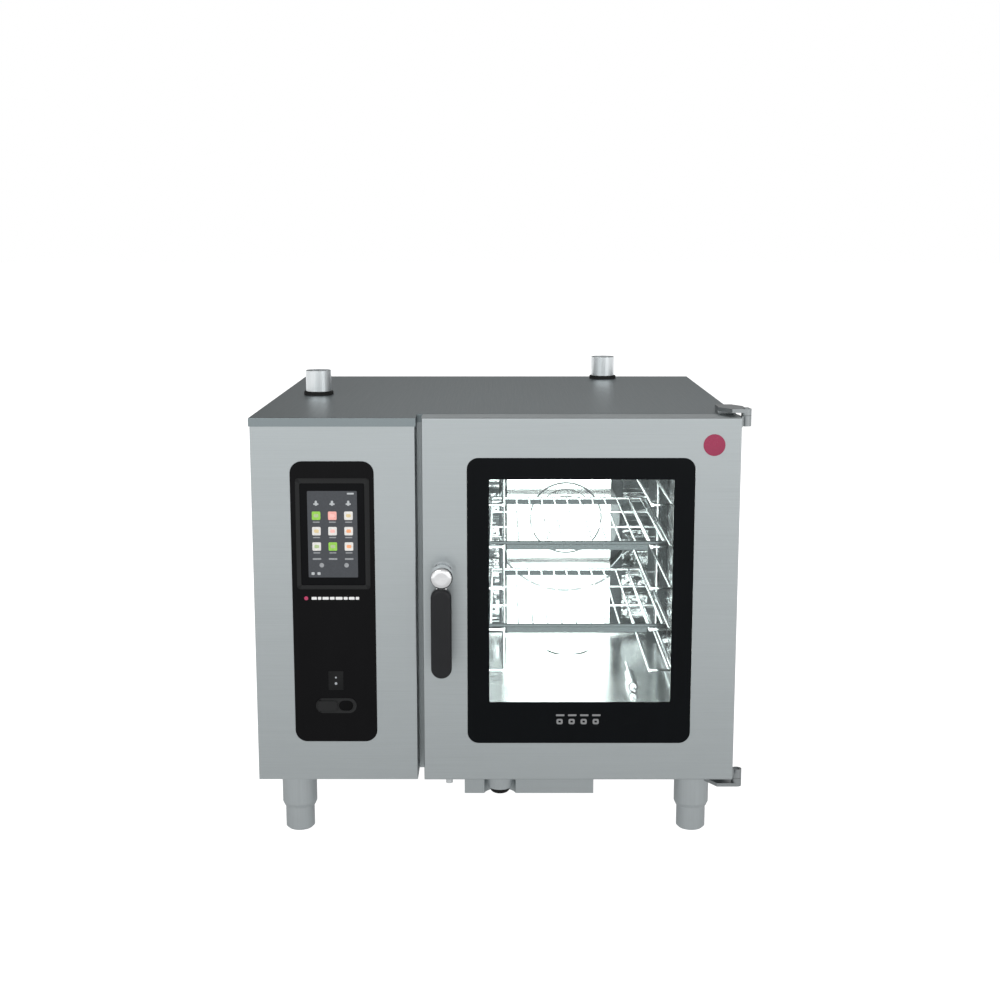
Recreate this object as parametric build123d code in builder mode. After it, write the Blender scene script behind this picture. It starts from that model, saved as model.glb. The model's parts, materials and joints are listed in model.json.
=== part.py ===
"""Table-top combi steamer oven: hinged glass door, control panel, cooking cavity and services.

Frame: X to the right, Y to the back, Z up, in millimetres. The origin is on the ground under the
middle of the overall outline. The door's front face is the plane y = DOOR_FACE.
"""

import os
from itertools import pairwise, product

from build123d import *

# Casing
LEFT = -437.5
RIGHT = 416.5
DOOR_FACE = -365.0
BACK = 427.0
BOTTOM = 131.0
TOP = 786.0
SHEET = 1.5
GAP = 0.3
SPLIT = -148.0  # right edge of the electrical compartment
STEP_BACK = 62.0  # the casing stands this far behind the door's face
LID_DEPTH = 15.0
FRAME_FRONT = DOOR_FACE + STEP_BACK + SHEET + GAP
FASCIA_FRONT = DOOR_FACE + SHEET + GAP
FASCIA_RETURN = 22.0
SIDE_LEFT = LEFT + SHEET + GAP
SIDE_RIGHT = RIGHT - SHEET - GAP
REAR_FACE = BACK - SHEET - GAP
WALL_RIGHT = SPLIT - SHEET - 0.2
PANEL_LOW = BOTTOM + 0.5
PANEL_HIGH = TOP - SHEET - GAP

# Control panel
GLASS_X = (-367.7, -221.8)
GLASS_Z = (203.0, 710.0)
GLASS_FRONT = FASCIA_FRONT - 1.2
GLASS_THICK = 4.0
GLASS_CORNER = 21.0
SCREEN_X = (-350.7, -238.8)
SCREEN_Z = (490.6, 671.1)
BEZEL_X = (-359.0, -229.3)
BEZEL_Z = (482.5, 681.0)
PILL_X = (-330.1, -257.8)
PILL_Z = (256.1, 283.6)
PILL_FRONT = GLASS_FRONT - 1.2
BUTTON_AT = (-276.5, 269.9)
BUTTON_SIZE = (25.0, 18.0)
BUTTON_PROUD = 1.0
COVER_AXIS = (-325.0, -367.1)
COVER_Z = (261.0, 278.8)
COVER_PIN_R = 0.5

# Cooking cavity
CAVITY_X = (-72.7, 351.3)
CAVITY_Z = (240.0, 716.0)
CAVITY_BACK = 325.0
LINER = 1.2
CAVITY_CORNER = 20.0
MIDDLE = 139.3
FAN_AT = (141.0, 492.0)
SUCTION_FRONT = 275.0
AIR_SLOTS = ((-4.0, 13.5), (238.6, 264.7))
WOOL_X = (-108.0, 386.0)
WOOL_Z = (204.0, 752.0)
WOOL_BACK = 352.0
DRAIN_AT = (139.3, 120.0)
DRAIN_R = 25.0
RACK_PITCH = 77.5
RACK_LOWEST = 305.5
RACK_LEVELS = 5
RACK_REACH = 135.0
SHELF_LEVELS = (1, 3)

# Fan
SHAFT_R = 8.0
FIT = 0.05  # radial clearance of a running fit
WHEEL_R = 118.0
BLADES = 18

# Vents
VENT_R = 25.0
VENT_BORE_R = 23.5
VENT_NECK_R = 24.6  # below the free end
VENT_SLEEVE = 40.0  # length of the free end that a duct is pushed over
VENT_TOP = 834.0
INLET_AT = (-361.6, 35.0)
EXHAUST_AT = (224.5, 382.0)
ROOF_PORT = (224.5, 205.0)

# Door
DOOR_X = (-138.0, 416.5)
DOOR_BACK = DOOR_FACE + 58.0
PANE_X = (-59.8, 337.6)
PANE_Z = (200.4, 716.0)
PANE_CORNER = 20.0
INNER_PANE_X = (-55.0, 333.0)
INNER_PANE_Z = (242.0, 716.0)
HINGE_AT = (428.5, DOOR_FACE + 33.0)
BARREL_R = 9.0
PIN_R = 5.0
SPOUT_AT = (-94.0, DOOR_FACE + 30.0)

# Handle
HUB_AT = (-103.0, 515.0)
HUB_R = 19.75
HANDLE_FRONT = DOOR_FACE - 62.0
GRIP_Z = (336.0, 497.0)
GRIP_W = 36.0
SPINDLE_R = 6.0

# Feet and underside
FOOT_X = (-377.5, 356.5)
FOOT_Y = (-255.0, 335.0)
SLEEVE_R = 32.0
FOOT_R = 26.75
FOOT_STEP = 45.0
STEM_R = 10.0
SHOWER_AT = (-2.0, -285.0)
SHOWER_R = 18.6
INLETS_X = (-290.0, -240.0)
INLETS_Y = 330.0
INLET_R = 13.2

CENTRED = (Align.CENTER, Align.CENTER, Align.MIN)


def slab(x, y, z, mode=Mode.ADD):
    """Block between three (low, high) pairs."""
    with Locations(((x[0] + x[1]) / 2, (y[0] + y[1]) / 2, (z[0] + z[1]) / 2)):
        Box(x[1] - x[0], y[1] - y[0], z[1] - z[0], mode=mode)


def grown(span, by):
    """The (low, high) pair widened by the same amount at both ends."""
    return (span[0] - by, span[1] + by)


def panel(x, y, z, corner, mode=Mode.ADD):
    """Upright plate whose corners are round when seen from the front."""
    sheet = Plane(origin=(0, y[1], 0), x_dir=(1, 0, 0), z_dir=(0, -1, 0))
    with BuildSketch(sheet) as outline:
        with Locations(((x[0] + x[1]) / 2, (z[0] + z[1]) / 2)):
            RectangleRounded(x[1] - x[0], z[1] - z[0], corner)
    extrude(outline.sketch, amount=y[1] - y[0], mode=mode)


def along_y(x, z, y, radius, mode=Mode.ADD):
    """Round bar that runs from front to back."""
    with Locations((x, (y[0] + y[1]) / 2, z)):
        Cylinder(radius, y[1] - y[0], rotation=(90, 0, 0), mode=mode)


def along_x(y, z, x, radius, mode=Mode.ADD):
    """Round bar that runs from left to right."""
    with Locations(((x[0] + x[1]) / 2, y, z)):
        Cylinder(radius, x[1] - x[0], rotation=(0, 90, 0), mode=mode)


def upright(x, y, z, radius, mode=Mode.ADD):
    """Round bar that stands up."""
    with Locations((x, y, z[0])):
        Cylinder(radius, z[1] - z[0], align=CENTRED, mode=mode)


def tube_run(points, radius):
    """Round tube through the points, with ball corners."""
    for start, end in pairwise(points):
        leg = Vector(end) - Vector(start)
        with Locations(Plane(origin=start, z_dir=leg)):
            Cylinder(radius, leg.length, align=CENTRED)
    for corner in points[1:-1]:
        with Locations(corner):
            Sphere(radius)


def prism(outline, z, mode=Mode.ADD):
    """Upright prism over a flat outline."""
    with BuildSketch(Plane.XY.offset(z[0])) as face:
        with BuildLine():
            Polyline(*outline, close=True)
        make_face()
    extrude(face.sketch, amount=z[1] - z[0], mode=mode)


# ---------------------------------------------------------------- casing

step_y = DOOR_FACE + STEP_BACK
lid_outline = (
    (LEFT, DOOR_FACE),
    (SPLIT, DOOR_FACE),
    (SPLIT, step_y),
    (RIGHT, step_y),
    (RIGHT, BACK),
    (LEFT, BACK),
)
lid_inside = (
    (LEFT + SHEET, DOOR_FACE + SHEET),
    (SPLIT - SHEET, DOOR_FACE + SHEET),
    (SPLIT - SHEET, step_y + SHEET),
    (RIGHT - SHEET, step_y + SHEET),
    (RIGHT - SHEET, BACK - SHEET),
    (LEFT + SHEET, BACK - SHEET),
)
with BuildPart() as casing_top:
    prism(lid_outline, (TOP - LID_DEPTH, TOP))
    prism(lid_inside, (TOP - LID_DEPTH, TOP - SHEET), Mode.SUBTRACT)
    fillet(casing_top.faces().sort_by(Axis.Z)[-1].edges(), radius=1.2)
    for spot in (INLET_AT, EXHAUST_AT):
        upright(*spot, (TOP - 5, TOP + 5), VENT_R + GAP, Mode.SUBTRACT)

side_y = (FASCIA_FRONT + FASCIA_RETURN, REAR_FACE - SHEET - GAP)
with BuildPart() as left_side_panel:
    slab((SIDE_LEFT, SIDE_LEFT + SHEET), side_y, (PANEL_LOW, PANEL_HIGH))
    for row in range(8):
        low = 190 + row * 14
        slab((SIDE_LEFT - 1, SIDE_LEFT + 3), (250, 350), (low, low + 5), Mode.SUBTRACT)

with BuildPart() as right_side_panel:
    slab(
        (SIDE_RIGHT - SHEET, SIDE_RIGHT),
        (FRAME_FRONT + SHEET + GAP, side_y[1]),
        (PANEL_LOW, PANEL_HIGH),
    )

with BuildPart() as back_panel:
    slab(
        (SIDE_LEFT + SHEET + GAP, SIDE_RIGHT - SHEET - GAP),
        (REAR_FACE - SHEET, REAR_FACE),
        (PANEL_LOW, PANEL_HIGH),
    )
    for column, row in product((-400, -300), range(9)):
        low = 560 + row * 16
        slab((column, column + 80), (REAR_FACE - 3, REAR_FACE + 1), (low, low + 6), Mode.SUBTRACT)

pan_front = FASCIA_FRONT + FASCIA_RETURN + GAP
pan_x = (SIDE_LEFT + SHEET + GAP, SIDE_RIGHT - SHEET - GAP)
pan_back = REAR_FACE - SHEET - GAP
pan_mouth = FRAME_FRONT + SHEET + GAP
with BuildPart() as base_pan:
    prism(
        (
            (pan_x[0], pan_front),
            (WALL_RIGHT, pan_front),
            (WALL_RIGHT, pan_mouth),
            (pan_x[1], pan_mouth),
            (pan_x[1], pan_back),
            (pan_x[0], pan_back),
        ),
        (BOTTOM, BOTTOM + SHEET),
    )
    flange_z = (BOTTOM, BOTTOM + 20)
    slab((pan_x[0], pan_x[0] + SHEET), (pan_front, pan_back), flange_z)
    slab((pan_x[1] - SHEET, pan_x[1]), (pan_mouth, pan_back), flange_z)
    slab(pan_x, (pan_back - SHEET, pan_back), flange_z)
    cut_z = (BOTTOM - 5, BOTTOM + 5)
    upright(*DRAIN_AT, cut_z, DRAIN_R + GAP, Mode.SUBTRACT)
    upright(*SHOWER_AT, cut_z, 7.5, Mode.SUBTRACT)
    for inlet_x in INLETS_X:
        upright(inlet_x, INLETS_Y, cut_z, INLET_R + GAP, Mode.SUBTRACT)

fascia_x = (SIDE_LEFT, WALL_RIGHT)
with BuildPart() as control_fascia:
    fascia_y = (FASCIA_FRONT, FASCIA_FRONT + FASCIA_RETURN - GAP)
    slab(fascia_x, fascia_y, (PANEL_LOW, PANEL_HIGH))
    slab(
        grown(fascia_x, -SHEET),
        (FASCIA_FRONT + SHEET, FASCIA_FRONT + FASCIA_RETURN + 5),
        (PANEL_LOW + SHEET, PANEL_HIGH - SHEET),
        Mode.SUBTRACT,
    )
    panel(
        grown(GLASS_X, GAP),
        (FASCIA_FRONT - 5, FASCIA_FRONT + 5),
        grown(GLASS_Z, GAP),
        GLASS_CORNER + GAP,
        Mode.SUBTRACT,
    )
    front_rim = control_fascia.edges().filter_by(Axis.Z).group_by(Axis.Y)[0]
    fillet([front_rim.sort_by(Axis.X)[0], front_rim.sort_by(Axis.X)[-1]], radius=2.0)

with BuildPart() as compartment_wall:
    wall_y = (side_y[0], side_y[1] - SHEET - GAP)
    slab((WALL_RIGHT - SHEET, WALL_RIGHT), wall_y, (BOTTOM + SHEET + GAP, PANEL_HIGH))
    along_x(388, 602, (WALL_RIGHT - 5, WALL_RIGHT + 5), 7.0, Mode.SUBTRACT)

with BuildPart() as front_frame:
    frame_y = (FRAME_FRONT, FRAME_FRONT + SHEET)
    slab((WALL_RIGHT + GAP, SIDE_RIGHT), frame_y, (PANEL_LOW, PANEL_HIGH))
    panel(CAVITY_X, grown(frame_y, 2), CAVITY_Z, CAVITY_CORNER, Mode.SUBTRACT)

with BuildPart() as casing_screws:
    screw_y = (REAR_FACE, REAR_FACE + 1.6)
    for screw_x, screw_z in product((-425, -150, 130, 404), (150, 450, 762)):
        along_y(screw_x, screw_z, screw_y, 4.5)
    fillet(casing_screws.faces().filter_by(Axis.Y).group_by(Axis.Y)[-1].edges(), radius=0.9)

# ---------------------------------------------------------------- control panel

with BuildPart() as control_glass:
    glass_y = (GLASS_FRONT, GLASS_FRONT + GLASS_THICK)
    panel(GLASS_X, glass_y, GLASS_Z, GLASS_CORNER)
    fillet(control_glass.faces().sort_by(Axis.Y)[0].edges(), radius=0.6)
    through = grown(glass_y, 2)
    panel(grown(SCREEN_X, GAP), through, grown(SCREEN_Z, GAP), 2.0, Mode.SUBTRACT)
    button_x = grown((BUTTON_AT[0], BUTTON_AT[0]), BUTTON_SIZE[0] / 2 + GAP)
    button_z = grown((BUTTON_AT[1], BUTTON_AT[1]), BUTTON_SIZE[1] / 2 + GAP)
    panel(button_x, through, button_z, BUTTON_SIZE[1] / 2 + 0.2, Mode.SUBTRACT)
    slab((-317, -301), through, (265.5, 274.5), Mode.SUBTRACT)

with BuildPart() as screen_bezel:
    bezel_y = (GLASS_FRONT - 1.2, GLASS_FRONT)
    panel(BEZEL_X, bezel_y, BEZEL_Z, 6.0)
    fillet(screen_bezel.faces().sort_by(Axis.Y)[0].edges(), radius=0.8)
    panel(grown(SCREEN_X, 0.6), grown(bezel_y, 2), grown(SCREEN_Z, 0.6), 2.5, Mode.SUBTRACT)

with BuildPart() as touch_screen:
    panel(SCREEN_X, (GLASS_FRONT + 0.2, GLASS_FRONT + 3), SCREEN_Z, 1.8)
    slab((-345, -244), (GLASS_FRONT + 3, GLASS_FRONT + 12), (495, 667))

with BuildPart() as switch_plate:
    pill_y = (PILL_FRONT, GLASS_FRONT)
    panel(PILL_X, pill_y, PILL_Z, 13.6)
    panel(button_x, grown(pill_y, 2), button_z, BUTTON_SIZE[1] / 2 + 0.2, Mode.SUBTRACT)
    slab((-317, -301), grown(pill_y, 2), (265.5, 274.5), Mode.SUBTRACT)
    for lug_z in ((COVER_Z[0] - 1.6, COVER_Z[0] - 0.2), (COVER_Z[1] + 0.2, COVER_Z[1] + 1.6)):
        lug_x = (COVER_AXIS[0] - 1, COVER_AXIS[0] + 1)
        slab(lug_x, (COVER_AXIS[1] - 1, PILL_FRONT + 0.2), lug_z)
    upright(*COVER_AXIS, grown(COVER_Z, 1), COVER_PIN_R)

with BuildPart() as usb_cover:
    cover_x = (COVER_AXIS[0], -292.0)
    cover_y = (COVER_AXIS[1] - 0.9, COVER_AXIS[1] + 0.5)
    slab(cover_x, cover_y, COVER_Z)
    ends = usb_cover.edges().filter_by(Axis.Y).group_by(Axis.X)[-1]
    fillet(ends, radius=6.0)
    upright(*COVER_AXIS, COVER_Z, 1.2)
    upright(*COVER_AXIS, grown(COVER_Z, 2), COVER_PIN_R + FIT, Mode.SUBTRACT)

with BuildPart() as power_button:
    cap_front = PILL_FRONT - BUTTON_PROUD
    cap_x = grown(button_x, -GAP)
    cap_z = grown(button_z, -GAP)
    panel(cap_x, (cap_front, GLASS_FRONT + 3.5), cap_z, BUTTON_SIZE[1] / 2 - 0.1)
    fillet(power_button.faces().sort_by(Axis.Y)[0].edges(), radius=0.8)
    along_y(*BUTTON_AT, (GLASS_FRONT + 3, GLASS_FRONT + 11), 3.0)

with BuildPart() as usb_socket:
    socket_x = (-316.5, -301.5)
    socket_z = (266.0, 274.0)
    slab(socket_x, (GLASS_FRONT + 0.3, GLASS_FRONT + 14), socket_z)
    slab(
        grown(socket_x, -0.8),
        (GLASS_FRONT, GLASS_FRONT + 12),
        grown(socket_z, -0.8),
        Mode.SUBTRACT,
    )

with BuildPart() as status_window:
    panel((-307.1, -280.6), (GLASS_FRONT - 0.8, GLASS_FRONT), (298.7, 333.8), 2.0)
    fillet(status_window.faces().sort_by(Axis.Y)[0].edges(), radius=0.3)

with BuildPart() as control_board:
    board_back = -332.0
    slab((-420, -180), (board_back - 2, board_back), (330, 700))
    for chip_x, chip_z, chip_size in ((-380, 640, 30), (-300, 560, 44), (-220, 420, 36), (-390, 400, 26)):
        half = chip_size / 2
        chip_span = (chip_x - half, chip_x + half)
        slab(chip_span, (board_back, board_back + 9), (chip_z - half, chip_z + half))
    for post_x, post_z in product((-410, -190), (345, 690)):
        along_y(post_x, post_z, (FASCIA_FRONT + SHEET + 0.1, board_back), 4.0)

# ---------------------------------------------------------------- cavity

fan_x, fan_z = FAN_AT
LEADS = (-66.0, 66.0)
LEAD_DROP = 134.7
injector_at = (291.0, 602.0)
with BuildPart() as cavity_liner:
    liner_front = FRAME_FRONT + SHEET + GAP
    panel(
        grown(CAVITY_X, LINER),
        (liner_front, CAVITY_BACK + LINER),
        grown(CAVITY_Z, LINER),
        CAVITY_CORNER + LINER,
    )
    panel(CAVITY_X, (liner_front - 5, CAVITY_BACK), CAVITY_Z, CAVITY_CORNER, Mode.SUBTRACT)
    rear_wall = (CAVITY_BACK - 3, CAVITY_BACK + 5)
    along_y(fan_x, fan_z, rear_wall, 12.0, Mode.SUBTRACT)
    along_y(*injector_at, rear_wall, 6.5, Mode.SUBTRACT)
    for lead in LEADS:
        along_y(fan_x + lead, fan_z - LEAD_DROP, rear_wall, 4.6, Mode.SUBTRACT)
    upright(*DRAIN_AT, (CAVITY_Z[0] - 5, CAVITY_Z[0] + 3), DRAIN_R - 2, Mode.SUBTRACT)
    upright(*ROOF_PORT, (CAVITY_Z[1] - 3, CAVITY_Z[1] + 5), 18.5, Mode.SUBTRACT)

with BuildPart() as insulation:
    slab(WOOL_X, (liner_front, WOOL_BACK), WOOL_Z)
    panel(
        grown(CAVITY_X, LINER + 0.4),
        (liner_front - 5, CAVITY_BACK + LINER + 0.4),
        grown(CAVITY_Z, LINER + 0.4),
        CAVITY_CORNER,
        Mode.SUBTRACT,
    )
    wool_rear = (CAVITY_BACK, WOOL_BACK + 5)
    along_y(fan_x, fan_z, wool_rear, 14.0, Mode.SUBTRACT)
    along_y(*injector_at, wool_rear, 8.0, Mode.SUBTRACT)
    for lead in LEADS:
        along_y(fan_x + lead, fan_z - LEAD_DROP, wool_rear, 6.0, Mode.SUBTRACT)
    upright(*DRAIN_AT, (WOOL_Z[0] - 5, CAVITY_Z[0]), DRAIN_R + 1, Mode.SUBTRACT)
    upright(*ROOF_PORT, (CAVITY_Z[1], WOOL_Z[1] + 5), 21.0, Mode.SUBTRACT)

suction_x = (MIDDLE - 182, MIDDLE + 182)
suction_z = (CAVITY_Z[0] + 8, CAVITY_Z[1] - 8)
with BuildPart() as suction_panel:
    suction_y = (SUCTION_FRONT, SUCTION_FRONT + 1.5)
    slab(suction_x, suction_y, suction_z)
    for edge_x in ((suction_x[0], suction_x[0] + 1.5), (suction_x[1] - 1.5, suction_x[1])):
        slab(edge_x, (SUCTION_FRONT, SUCTION_FRONT + 22), suction_z)
    along_y(fan_x, fan_z, (SUCTION_FRONT - 3, SUCTION_FRONT + 1), 164.0)
    along_y(fan_x, fan_z, (SUCTION_FRONT - 4, SUCTION_FRONT), 159.0, Mode.SUBTRACT)
    for side_x in ((suction_x[0], AIR_SLOTS[0][1]), (AIR_SLOTS[1][0], suction_x[1])):
        slab(side_x, (SUCTION_FRONT - 5, SUCTION_FRONT), suction_z, Mode.SUBTRACT)
    for slot_x in AIR_SLOTS:
        slab(slot_x, grown(suction_y, 5), (suction_z[0] + 6, suction_z[1] - 20), Mode.SUBTRACT)
    grille_plane = Plane(origin=(fan_x, SUCTION_FRONT + 1.5, fan_z), x_dir=(1, 0, 0), z_dir=(0, -1, 0))
    with BuildSketch(grille_plane) as grille:
        Circle(79)
        for ring_r in (77, 63, 49, 35, 21):
            Circle(ring_r, mode=Mode.SUBTRACT)
            Circle(ring_r - 2)
        Circle(3, mode=Mode.SUBTRACT)
        with PolarLocations(0, 3):
            Rectangle(156, 4)
    along_y(fan_x, fan_z, grown(suction_y, 5), 78.0, Mode.SUBTRACT)
    extrude(grille.sketch, amount=2.5)

with BuildPart() as fan_motor:
    motor_y = (WOOL_BACK + 0.5, 418.0)
    along_y(fan_x, fan_z, motor_y, 50.0)
    fillet(fan_motor.faces().sort_by(Axis.Y)[-1].edges(), radius=8.0)
    slab((fan_x - 62, fan_x + 62), (motor_y[0], motor_y[0] + 4), (fan_z - 62, fan_z + 62))
    along_y(fan_x, fan_z, (motor_y[0] - 1, motor_y[0] + 32), SHAFT_R + FIT, Mode.SUBTRACT)

with BuildPart() as heating_element:
    coil_r = 150.0
    for coil_y in (288.0, 300.0, 312.0):
        with Locations(Location((fan_x, coil_y, fan_z), (90, 0, 0))):
            Torus(coil_r, 4.0)
    for lead in LEADS:
        along_y(fan_x + lead, fan_z - LEAD_DROP, (288, WOOL_BACK + 18), 4.0)

hub_y = (298.0, 321.0)
with BuildPart() as fan_wheel:
    along_y(fan_x, fan_z, (313, 315), WHEEL_R)
    along_y(fan_x, fan_z, (283, 285), WHEEL_R)
    along_y(fan_x, fan_z, (282, 286), 92.0, Mode.SUBTRACT)
    blade_plane = Plane(origin=(fan_x, 313.5, fan_z), x_dir=(1, 0, 0), z_dir=(0, -1, 0))
    with BuildSketch(blade_plane) as blades:
        with PolarLocations(105, BLADES):
            Rectangle(20, 2)
    extrude(blades.sketch, amount=29)
    along_y(fan_x, fan_z, hub_y, 16.0)
    along_y(fan_x, fan_z, grown(hub_y, 2), SHAFT_R + 0.02, Mode.SUBTRACT)

with BuildPart() as fan_shaft:
    along_y(fan_x, fan_z, (294, motor_y[0] + 30), SHAFT_R)
    along_y(fan_x, fan_z, (287, hub_y[0] - 0.1), 12.0)

with BuildPart() as steam_injector:
    tube_run(
        (
            (-219.6, 340.0, 149.0),
            (-185.0, 340.0, 149.0),
            (-185.0, 388.0, 149.0),
            (-185.0, 388.0, 602.0),
            (injector_at[0], 388.0, 602.0),
            (injector_at[0], 292.0, 602.0),
        ),
        6.0,
    )

rack_y = (-262.0, 222.0)
rails = tuple(RACK_LOWEST + RACK_PITCH * level for level in range(RACK_LEVELS))
racks = {}
for side, name in ((-1, "rack_left"), (1, "rack_right")):
    outer = MIDDLE + side * 196
    inner = MIDDLE + side * RACK_REACH
    stop = MIDDLE + side * 172
    span = (min(outer, inner), max(outer, inner))
    with BuildPart() as rack:
        for post_y in rack_y:
            upright(outer, post_y, (257, 695), 5.0)
        for bar_z in (262, 690):
            along_y(outer, bar_z, rack_y, 4.0)
        for rail_z in rails:
            along_y(inner, rail_z, grown(rack_y, 3), 3.0)
            along_y(stop, rail_z, grown(rack_y, 3), 3.0)
            for end_y in rack_y:
                along_x(end_y, rail_z, span, 2.5)
        wall_x = MIDDLE + side * 211.5
        for hook_y, hook_z in product((-150.0, 110.0), (262, 690)):
            hook_x = (min(outer, wall_x), max(outer, wall_x))
            slab(hook_x, (hook_y - 4, hook_y + 4), (hook_z - 4, hook_z + 4))
    racks[name] = rack

shelf_x = (MIDDLE - 160, MIDDLE + 160)
shelf_y = (-258.0, 218.0)
with BuildPart() as wire_shelves:
    for level in SHELF_LEVELS:
        shelf_z = rails[level] + 6.6
        for rod_x in shelf_x:
            along_y(rod_x, shelf_z, grown(shelf_y, 3.5), 3.5)
        for rod_y in shelf_y:
            along_x(rod_y, shelf_z, grown(shelf_x, 3.5), 3.5)
        for rod in range(1, 12):
            rod_x = shelf_x[0] + rod * (shelf_x[1] - shelf_x[0]) / 12
            along_y(rod_x, shelf_z + 1, shelf_y, 1.8)
        for rod_y in (-100.0, 60.0):
            along_x(rod_y, shelf_z - 1, shelf_x, 2.2)
        for lip_y in shelf_y:
            lip_x = grown((MIDDLE, MIDDLE), RACK_REACH - 6)
            slab(lip_x, grown((lip_y, lip_y), 1.2), (shelf_z - 13, shelf_z))

with BuildPart() as drain_strainer:
    upright(*DRAIN_AT, (CAVITY_Z[0] + 0.1, CAVITY_Z[0] + 2.1), 44.0)
    fillet(drain_strainer.faces().sort_by(Axis.Z)[-1].edges(), radius=1.0)
    with Locations((*DRAIN_AT, CAVITY_Z[0] + 1)):
        for ring_r, holes in ((9, 6), (19, 12)):
            with PolarLocations(ring_r, holes):
                Cylinder(2.6, 10, mode=Mode.SUBTRACT)

drain_low = 85.0
with BuildPart() as drain_pipe:
    upright(*DRAIN_AT, (drain_low, drain_low + 40), DRAIN_R)
    upright(*DRAIN_AT, (drain_low + 39, CAVITY_Z[0] - LINER - 0.2), DRAIN_R - 0.5)
    upright(*DRAIN_AT, (drain_low - 5, CAVITY_Z[0]), DRAIN_R - 2, Mode.SUBTRACT)

with BuildPart() as core_probe:
    along_y(252, 250.2, (-190, -96), 9.0)
    along_y(252, 250.2, (-96, -20), 2.5)
    fillet(core_probe.edges().filter_by(GeomType.CIRCLE).group_by(Axis.Y)[0], radius=5.0)
    tube_run(((252.0, -182.0, 250.2), (252.0, -212.0, 250.2), (318.0, -212.0, 262.0), (351.0, -212.0, 285.0)), 3.0)
    slab((CAVITY_X[1] - 0.2, CAVITY_X[1] + 2), (-240, -190), (270, 300), Mode.SUBTRACT)

# ---------------------------------------------------------------- services

with BuildPart() as water_inlet_valve:
    slab((-312, -220), (308, 352), (BOTTOM + SHEET + GAP, 166))
    for inlet_x in INLETS_X:
        upright(inlet_x, INLETS_Y, (BOTTOM - 26, BOTTOM - 2), INLET_R)
        upright(inlet_x, INLETS_Y, (BOTTOM - 3, BOTTOM + 10), INLET_R - 0.6)
        upright(inlet_x, INLETS_Y, (BOTTOM - 30, BOTTOM + 5), INLET_R - 4, Mode.SUBTRACT)
        upright(inlet_x, INLETS_Y, (166, 206), 16.0)

with BuildPart() as exhaust_duct:
    duct_x = (EXHAUST_AT[0] - 29, EXHAUST_AT[0] + 29)
    duct_z = (WOOL_Z[1] + 1, PANEL_HIGH - 2)
    duct_y = (ROOF_PORT[1] - 28, EXHAUST_AT[1] + 29)
    slab(duct_x, duct_y, duct_z)
    upright(*ROOF_PORT, (CAVITY_Z[1] + LINER + 0.2, duct_z[0] + 1), 20.5)
    slab(grown(duct_x, -SHEET), grown(duct_y, -SHEET), grown(duct_z, -SHEET), Mode.SUBTRACT)
    upright(*EXHAUST_AT, (duct_z[1] - 3, duct_z[1] + 3), VENT_BORE_R, Mode.SUBTRACT)
    upright(*ROOF_PORT, (CAVITY_Z[1], duct_z[0] + 3), 18.5, Mode.SUBTRACT)

vents = {}
pipes = (("air_inlet_pipe", INLET_AT, 730), ("exhaust_vent_pipe", EXHAUST_AT, duct_z[1] + 0.1))
for name, spot, foot_z in pipes:
    with BuildPart() as pipe:
        upright(*spot, (VENT_TOP - VENT_SLEEVE - 0.6, VENT_TOP), VENT_R)
        fillet(pipe.faces().sort_by(Axis.Z)[-1].edges(), radius=0.6)
        upright(*spot, (foot_z, VENT_TOP - VENT_SLEEVE), VENT_NECK_R)
        upright(*spot, (foot_z - 5, VENT_TOP + 5), VENT_BORE_R, Mode.SUBTRACT)
    vents[name] = pipe

with BuildPart() as vent_gaskets:
    for spot in (INLET_AT, EXHAUST_AT):
        upright(*spot, (TOP + 0.05, TOP + 7), 29.0)
    fillet(vent_gaskets.faces().filter_by(Axis.Z).group_by(Axis.Z)[-1].edges(), radius=2.0)
    for spot in (INLET_AT, EXHAUST_AT):
        upright(*spot, (TOP - 5, TOP + 12), VENT_NECK_R + 0.1, Mode.SUBTRACT)

with BuildPart() as shower_box:
    tray_x = (-67.7, 171.7)
    tray_y = (-280.0, -60.0)
    tray_z = (73.6, BOTTOM - 0.1)
    slab(tray_x, tray_y, tray_z)
    upright(*SHOWER_AT, grown(tray_z, 5), 29.5, Mode.SUBTRACT)
    with BuildPart(mode=Mode.PRIVATE) as hollow:
        slab(grown(tray_x, -SHEET), grown(tray_y, -SHEET), (tray_z[0] + SHEET, tray_z[1] + 5))
        upright(*SHOWER_AT, grown(tray_z, 10), 29.5 + SHEET, Mode.SUBTRACT)
    add(hollow.part, mode=Mode.SUBTRACT)

cup_low = 89.4
with BuildPart() as shower_cup:
    with Locations((*SHOWER_AT, (cup_low + BOTTOM) / 2)):
        Cone(21.5, 27.5, BOTTOM - cup_low - 0.2)
    fillet(shower_cup.faces().sort_by(Axis.Z)[0].edges(), radius=1.0)
    upright(*SHOWER_AT, (cup_low - 5, BOTTOM + 5), SHOWER_R + FIT, Mode.SUBTRACT)

with BuildPart() as shower_head:
    upright(*SHOWER_AT, (79, 118), SHOWER_R)
    fillet(shower_head.faces().sort_by(Axis.Z)[0].edges(), radius=9.0)
    fillet(shower_head.faces().sort_by(Axis.Z)[-1].edges(), radius=6.0)
    upright(*SHOWER_AT, (117, 196), 6.0)

with BuildPart() as foot_sleeves:
    for foot_x, foot_y in product(FOOT_X, FOOT_Y):
        upright(foot_x, foot_y, (FOOT_STEP, BOTTOM - 0.1), SLEEVE_R)
    chamfer(foot_sleeves.faces().filter_by(Axis.Z).group_by(Axis.Z)[0].edges(), length=7.0, length2=3.2)
    for foot_x, foot_y in product(FOOT_X, FOOT_Y):
        upright(foot_x, foot_y, (FOOT_STEP - 5, BOTTOM + 5), STEM_R + FIT, Mode.SUBTRACT)
        upright(foot_x, foot_y, (FOOT_STEP + 20, BOTTOM + 5), SLEEVE_R - 4, Mode.SUBTRACT)

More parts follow.
